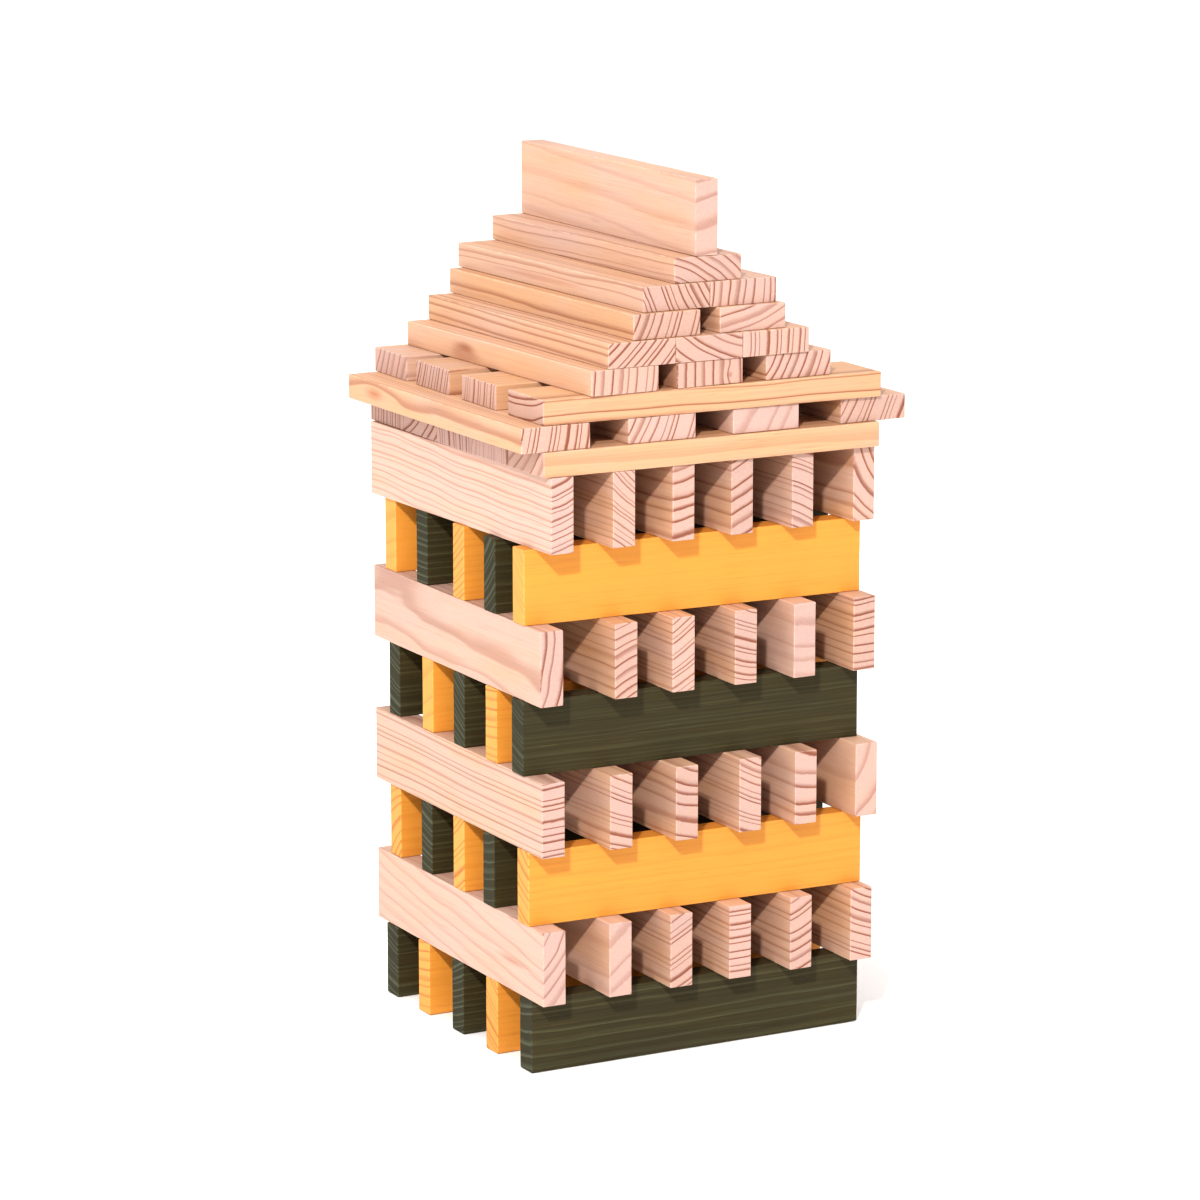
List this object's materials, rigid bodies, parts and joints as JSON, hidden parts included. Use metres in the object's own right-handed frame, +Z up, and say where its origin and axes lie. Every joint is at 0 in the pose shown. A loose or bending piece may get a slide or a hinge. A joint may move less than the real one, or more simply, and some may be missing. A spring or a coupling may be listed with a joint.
{
  "type": "stacking plank tower",
  "caption": "Wooden plank stacking game built as a tumbling tower: open walls of planks on edge, a flat deck and a stepped gable roof with a ridge plank.",
  "frame": {"origin": "on the table, in the middle of the tower's footprint", "axes": "+X along the front face to the right, +Y to the back, +Z up"},
  "size_m": [0.1354, 0.1231, 0.273],
  "materials": {
    "pine": "smooth sawn, unfinished",
    "yellow_stain": "smooth, stained yellow",
    "green_stain": "smooth, stained dark green"
  },
  "bodies": {
    "base": {"base_green_planks": "green_stain", "base_yellow_planks": "yellow_stain"},
    "wall_2_plank_1": {"wall_2_plank_1": "pine"},
    "wall_2_plank_2": {"wall_2_plank_2": "pine"},
    "wall_2_plank_3": {"wall_2_plank_3": "pine"},
    "wall_2_plank_4": {"wall_2_plank_4": "pine"},
    "wall_2_plank_5": {"wall_2_plank_5": "pine"},
    "wall_2_plank_6": {"wall_2_plank_6": "pine"},
    "wall_3_plank_1": {"wall_3_plank_1": "yellow_stain"},
    "wall_3_plank_2": {"wall_3_plank_2": "green_stain"},
    "wall_3_plank_3": {"wall_3_plank_3": "yellow_stain"},
    "wall_3_plank_4": {"wall_3_plank_4": "green_stain"},
    "wall_3_plank_5": {"wall_3_plank_5": "yellow_stain"},
    "wall_4_plank_1": {"wall_4_plank_1": "pine"},
    "wall_4_plank_2": {"wall_4_plank_2": "pine"},
    "wall_4_plank_3": {"wall_4_plank_3": "pine"},
    "wall_4_plank_4": {"wall_4_plank_4": "pine"},
    "wall_4_plank_5": {"wall_4_plank_5": "pine"},
    "wall_4_plank_6": {"wall_4_plank_6": "pine"},
    "wall_5_plank_1": {"wall_5_plank_1": "green_stain"},
    "wall_5_plank_2": {"wall_5_plank_2": "yellow_stain"},
    "wall_5_plank_3": {"wall_5_plank_3": "green_stain"},
    "wall_5_plank_4": {"wall_5_plank_4": "yellow_stain"},
    "wall_5_plank_5": {"wall_5_plank_5": "green_stain"},
    "wall_6_plank_1": {"wall_6_plank_1": "pine"},
    "wall_6_plank_2": {"wall_6_plank_2": "pine"},
    "wall_6_plank_3": {"wall_6_plank_3": "pine"},
    "wall_6_plank_4": {"wall_6_plank_4": "pine"},
    "wall_6_plank_5": {"wall_6_plank_5": "pine"},
    "wall_6_plank_6": {"wall_6_plank_6": "pine"},
    "wall_7_plank_1": {"wall_7_plank_1": "yellow_stain"},
    "wall_7_plank_2": {"wall_7_plank_2": "green_stain"},
    "wall_7_plank_3": {"wall_7_plank_3": "yellow_stain"},
    "wall_7_plank_4": {"wall_7_plank_4": "green_stain"},
    "wall_7_plank_5": {"wall_7_plank_5": "yellow_stain"},
    "wall_8_plank_1": {"wall_8_plank_1": "pine"},
    "wall_8_plank_2": {"wall_8_plank_2": "pine"},
    "wall_8_plank_3": {"wall_8_plank_3": "pine"},
    "wall_8_plank_4": {"wall_8_plank_4": "pine"},
    "wall_8_plank_5": {"wall_8_plank_5": "pine"},
    "wall_8_plank_6": {"wall_8_plank_6": "pine"},
    "deck_plank_1": {"deck_plank_1": "pine"},
    "deck_planks_2_to_4": {"deck_planks_2_to_4": "pine"},
    "deck_plank_5": {"deck_plank_5": "pine"},
    "eaves_plank_1": {"eaves_plank_1": "pine"},
    "eaves_planks_2_and_3": {"eaves_planks_2_and_3": "pine"},
    "eaves_plank_4": {"eaves_plank_4": "pine"},
    "cross_plank_1": {"cross_plank_1": "pine"},
    "cross_planks_2_and_3": {"cross_planks_2_and_3": "pine"},
    "cross_plank_4": {"cross_plank_4": "pine"},
    "roof_1_plank_1": {"roof_1_plank_1": "pine"},
    "roof_1_plank_2": {"roof_1_plank_2": "pine"},
    "roof_1_plank_3": {"roof_1_plank_3": "pine"},
    "roof_2_planks": {"roof_2_planks": "pine"},
    "roof_3_plank_1": {"roof_3_plank_1": "pine"},
    "roof_3_plank_2": {"roof_3_plank_2": "pine"},
    "roof_4_plank_1": {"roof_4_plank_1": "pine"},
    "roof_4_plank_2": {"roof_4_plank_2": "pine"},
    "roof_5_plank_1": {"roof_5_plank_1": "pine"},
    "ridge_plank_1": {"ridge_plank_1": "pine"}
  },
  "joints": [
    {"name": "wall_2_plank_1_slide", "type": "slide", "parent": "base", "child": "wall_2_plank_1", "axis": [0.0087, 1, 0], "range_m": [-0.117, 0.117]},
    {"name": "wall_2_plank_2_slide", "type": "slide", "parent": "base", "child": "wall_2_plank_2", "axis": [0.0087, 1, 0], "range_m": [-0.117, 0.117]},
    {"name": "wall_2_plank_3_slide", "type": "slide", "parent": "base", "child": "wall_2_plank_3", "axis": [0.0087, 1, 0], "range_m": [-0.117, 0.117]},
    {"name": "wall_2_plank_4_slide", "type": "slide", "parent": "base", "child": "wall_2_plank_4", "axis": [0.0087, 1, 0], "range_m": [-0.117, 0.117]},
    {"name": "wall_2_plank_5_slide", "type": "slide", "parent": "base", "child": "wall_2_plank_5", "axis": [0.0087, 1, 0], "range_m": [-0.117, 0.117]},
    {"name": "wall_2_plank_6_slide", "type": "slide", "parent": "base", "child": "wall_2_plank_6", "axis": [0.0087, 1, 0], "range_m": [-0.117, 0.117]},
    {"name": "wall_3_plank_1_slide", "type": "slide", "parent": "base", "child": "wall_3_plank_1", "axis": [0.9998, -0.0209, 0], "range_m": [-0.117, 0.117]},
    {"name": "wall_3_plank_2_slide", "type": "slide", "parent": "base", "child": "wall_3_plank_2", "axis": [0.9998, -0.0209, 0], "range_m": [-0.117, 0.117]},
    {"name": "wall_3_plank_3_slide", "type": "slide", "parent": "base", "child": "wall_3_plank_3", "axis": [0.9998, -0.0209, 0], "range_m": [-0.117, 0.117]},
    {"name": "wall_3_plank_4_slide", "type": "slide", "parent": "base", "child": "wall_3_plank_4", "axis": [0.9998, -0.0209, 0], "range_m": [-0.117, 0.117]},
    {"name": "wall_3_plank_5_slide", "type": "slide", "parent": "base", "child": "wall_3_plank_5", "axis": [0.9998, -0.0209, 0], "range_m": [-0.117, 0.117]},
    {"name": "wall_4_plank_1_slide", "type": "slide", "parent": "base", "child": "wall_4_plank_1", "axis": [0.0087, 1, 0], "range_m": [-0.117, 0.117]},
    {"name": "wall_4_plank_2_slide", "type": "slide", "parent": "base", "child": "wall_4_plank_2", "axis": [0.0087, 1, 0], "range_m": [-0.117, 0.117]},
    {"name": "wall_4_plank_3_slide", "type": "slide", "parent": "base", "child": "wall_4_plank_3", "axis": [0.0087, 1, 0], "range_m": [-0.117, 0.117]},
    {"name": "wall_4_plank_4_slide", "type": "slide", "parent": "base", "child": "wall_4_plank_4", "axis": [0.0087, 1, 0], "range_m": [-0.117, 0.117]},
    {"name": "wall_4_plank_5_slide", "type": "slide", "parent": "base", "child": "wall_4_plank_5", "axis": [0.0087, 1, 0], "range_m": [-0.117, 0.117]},
    {"name": "wall_4_plank_6_slide", "type": "slide", "parent": "base", "child": "wall_4_plank_6", "axis": [0.0087, 1, 0], "range_m": [-0.117, 0.117]},
    {"name": "wall_5_plank_1_slide", "type": "slide", "parent": "base", "child": "wall_5_plank_1", "axis": [0.9997, -0.0244, 0], "range_m": [-0.117, 0.117]},
    {"name": "wall_5_plank_2_slide", "type": "slide", "parent": "base", "child": "wall_5_plank_2", "axis": [0.9997, -0.0244, 0], "range_m": [-0.117, 0.117]},
    {"name": "wall_5_plank_3_slide", "type": "slide", "parent": "base", "child": "wall_5_plank_3", "axis": [0.9997, -0.0244, 0], "range_m": [-0.117, 0.117]},
    {"name": "wall_5_plank_4_slide", "type": "slide", "parent": "base", "child": "wall_5_plank_4", "axis": [0.9997, -0.0244, 0], "range_m": [-0.117, 0.117]},
    {"name": "wall_5_plank_5_slide", "type": "slide", "parent": "base", "child": "wall_5_plank_5", "axis": [0.9997, -0.0244, 0], "range_m": [-0.117, 0.117]},
    {"name": "wall_6_plank_1_slide", "type": "slide", "parent": "base", "child": "wall_6_plank_1", "axis": [0.0105, 0.9999, 0], "range_m": [-0.117, 0.117]},
    {"name": "wall_6_plank_2_slide", "type": "slide", "parent": "base", "child": "wall_6_plank_2", "axis": [0.0105, 0.9999, 0], "range_m": [-0.117, 0.117]},
    {"name": "wall_6_plank_3_slide", "type": "slide", "parent": "base", "child": "wall_6_plank_3", "axis": [0.0105, 0.9999, 0], "range_m": [-0.117, 0.117]},
    {"name": "wall_6_plank_4_slide", "type": "slide", "parent": "base", "child": "wall_6_plank_4", "axis": [0.0105, 0.9999, 0], "range_m": [-0.117, 0.117]},
    {"name": "wall_6_plank_5_slide", "type": "slide", "parent": "base", "child": "wall_6_plank_5", "axis": [0.0105, 0.9999, 0], "range_m": [-0.117, 0.117]},
    {"name": "wall_6_plank_6_slide", "type": "slide", "parent": "base", "child": "wall_6_plank_6", "axis": [0.0105, 0.9999, 0], "range_m": [-0.117, 0.117]},
    {"name": "wall_7_plank_1_slide", "type": "slide", "parent": "base", "child": "wall_7_plank_1", "axis": [0.9998, -0.0209, 0], "range_m": [-0.117, 0.117]},
    {"name": "wall_7_plank_2_slide", "type": "slide", "parent": "base", "child": "wall_7_plank_2", "axis": [0.9998, -0.0209, 0], "range_m": [-0.117, 0.117]},
    {"name": "wall_7_plank_3_slide", "type": "slide", "parent": "base", "child": "wall_7_plank_3", "axis": [0.9998, -0.0209, 0], "range_m": [-0.117, 0.117]},
    {"name": "wall_7_plank_4_slide", "type": "slide", "parent": "base", "child": "wall_7_plank_4", "axis": [0.9998, -0.0209, 0], "range_m": [-0.117, 0.117]},
    {"name": "wall_7_plank_5_slide", "type": "slide", "parent": "base", "child": "wall_7_plank_5", "axis": [0.9998, -0.0209, 0], "range_m": [-0.117, 0.117]},
    {"name": "wall_8_plank_1_slide", "type": "slide", "parent": "base", "child": "wall_8_plank_1", "axis": [-0.0262, 0.9997, 0], "range_m": [-0.117, 0.117]},
    {"name": "wall_8_plank_2_slide", "type": "slide", "parent": "base", "child": "wall_8_plank_2", "axis": [-0.0262, 0.9997, 0], "range_m": [-0.117, 0.117]},
    {"name": "wall_8_plank_3_slide", "type": "slide", "parent": "base", "child": "wall_8_plank_3", "axis": [-0.0262, 0.9997, 0], "range_m": [-0.117, 0.117]},
    {"name": "wall_8_plank_4_slide", "type": "slide", "parent": "base", "child": "wall_8_plank_4", "axis": [-0.0262, 0.9997, 0], "range_m": [-0.117, 0.117]},
    {"name": "wall_8_plank_5_slide", "type": "slide", "parent": "base", "child": "wall_8_plank_5", "axis": [-0.0262, 0.9997, 0], "range_m": [-0.117, 0.117]},
    {"name": "wall_8_plank_6_slide", "type": "slide", "parent": "base", "child": "wall_8_plank_6", "axis": [-0.0262, 0.9997, 0], "range_m": [-0.117, 0.117]},
    {"name": "deck_plank_1_slide", "type": "slide", "parent": "base", "child": "deck_plank_1", "axis": [1, -0.0035, 0], "range_m": [-0.117, 0.117]},
    {"name": "deck_planks_2_to_4_slide", "type": "slide", "parent": "base", "child": "deck_planks_2_to_4", "axis": [1, -0.0035, 0], "range_m": [-0.117, 0.117]},
    {"name": "deck_plank_5_slide", "type": "slide", "parent": "base", "child": "deck_plank_5", "axis": [1, -0.0035, 0], "range_m": [-0.117, 0.117]},
    {"name": "eaves_plank_1_slide", "type": "slide", "parent": "base", "child": "eaves_plank_1", "axis": [-0.007, 1, 0], "range_m": [-0.117, 0.117]},
    {"name": "eaves_planks_2_and_3_slide", "type": "slide", "parent": "base", "child": "eaves_planks_2_and_3", "axis": [-0.007, 1, 0], "range_m": [-0.117, 0.117]},
    {"name": "eaves_plank_4_slide", "type": "slide", "parent": "base", "child": "eaves_plank_4", "axis": [-0.007, 1, 0], "range_m": [-0.117, 0.117]},
    {"name": "cross_plank_1_slide", "type": "slide", "parent": "base", "child": "cross_plank_1", "axis": [0.9999, -0.0122, 0], "range_m": [-0.117, 0.117]},
    {"name": "cross_planks_2_and_3_slide", "type": "slide", "parent": "base", "child": "cross_planks_2_and_3", "axis": [0.9999, -0.0122, 0], "range_m": [-0.117, 0.117]},
    {"name": "cross_plank_4_slide", "type": "slide", "parent": "base", "child": "cross_plank_4", "axis": [0.9999, -0.0122, 0], "range_m": [-0.117, 0.117]},
    {"name": "roof_1_plank_1_slide", "type": "slide", "parent": "base", "child": "roof_1_plank_1", "axis": [-0.0297, 0.9996, 0], "range_m": [-0.117, 0.117]},
    {"name": "roof_1_plank_2_slide", "type": "slide", "parent": "base", "child": "roof_1_plank_2", "axis": [-0.0297, 0.9996, 0], "range_m": [-0.117, 0.117]},
    {"name": "roof_1_plank_3_slide", "type": "slide", "parent": "base", "child": "roof_1_plank_3", "axis": [-0.0297, 0.9996, 0], "range_m": [-0.117, 0.117]},
    {"name": "roof_2_planks_slide", "type": "slide", "parent": "base", "child": "roof_2_planks", "axis": [-0.014, 0.9999, 0], "range_m": [-0.117, 0.117]},
    {"name": "roof_3_plank_1_slide", "type": "slide", "parent": "base", "child": "roof_3_plank_1", "axis": [-0.0227, 0.9997, 0], "range_m": [-0.117, 0.117]},
    {"name": "roof_3_plank_2_slide", "type": "slide", "parent": "base", "child": "roof_3_plank_2", "axis": [-0.0227, 0.9997, 0], "range_m": [-0.117, 0.117]},
    {"name": "roof_4_plank_1_slide", "type": "slide", "parent": "base", "child": "roof_4_plank_1", "axis": [-0.0262, 0.9997, 0], "range_m": [-0.117, 0.117]},
    {"name": "roof_4_plank_2_slide", "type": "slide", "parent": "base", "child": "roof_4_plank_2", "axis": [-0.0262, 0.9997, 0], "range_m": [-0.117, 0.117]},
    {"name": "roof_5_plank_1_slide", "type": "slide", "parent": "base", "child": "roof_5_plank_1", "axis": [-0.0122, 0.9999, 0], "range_m": [-0.117, 0.117]},
    {"name": "ridge_lift", "type": "slide", "parent": "base", "child": "ridge_plank_1", "axis": [0, 0, 1], "range_m": [0, 0.117]}
  ]
}
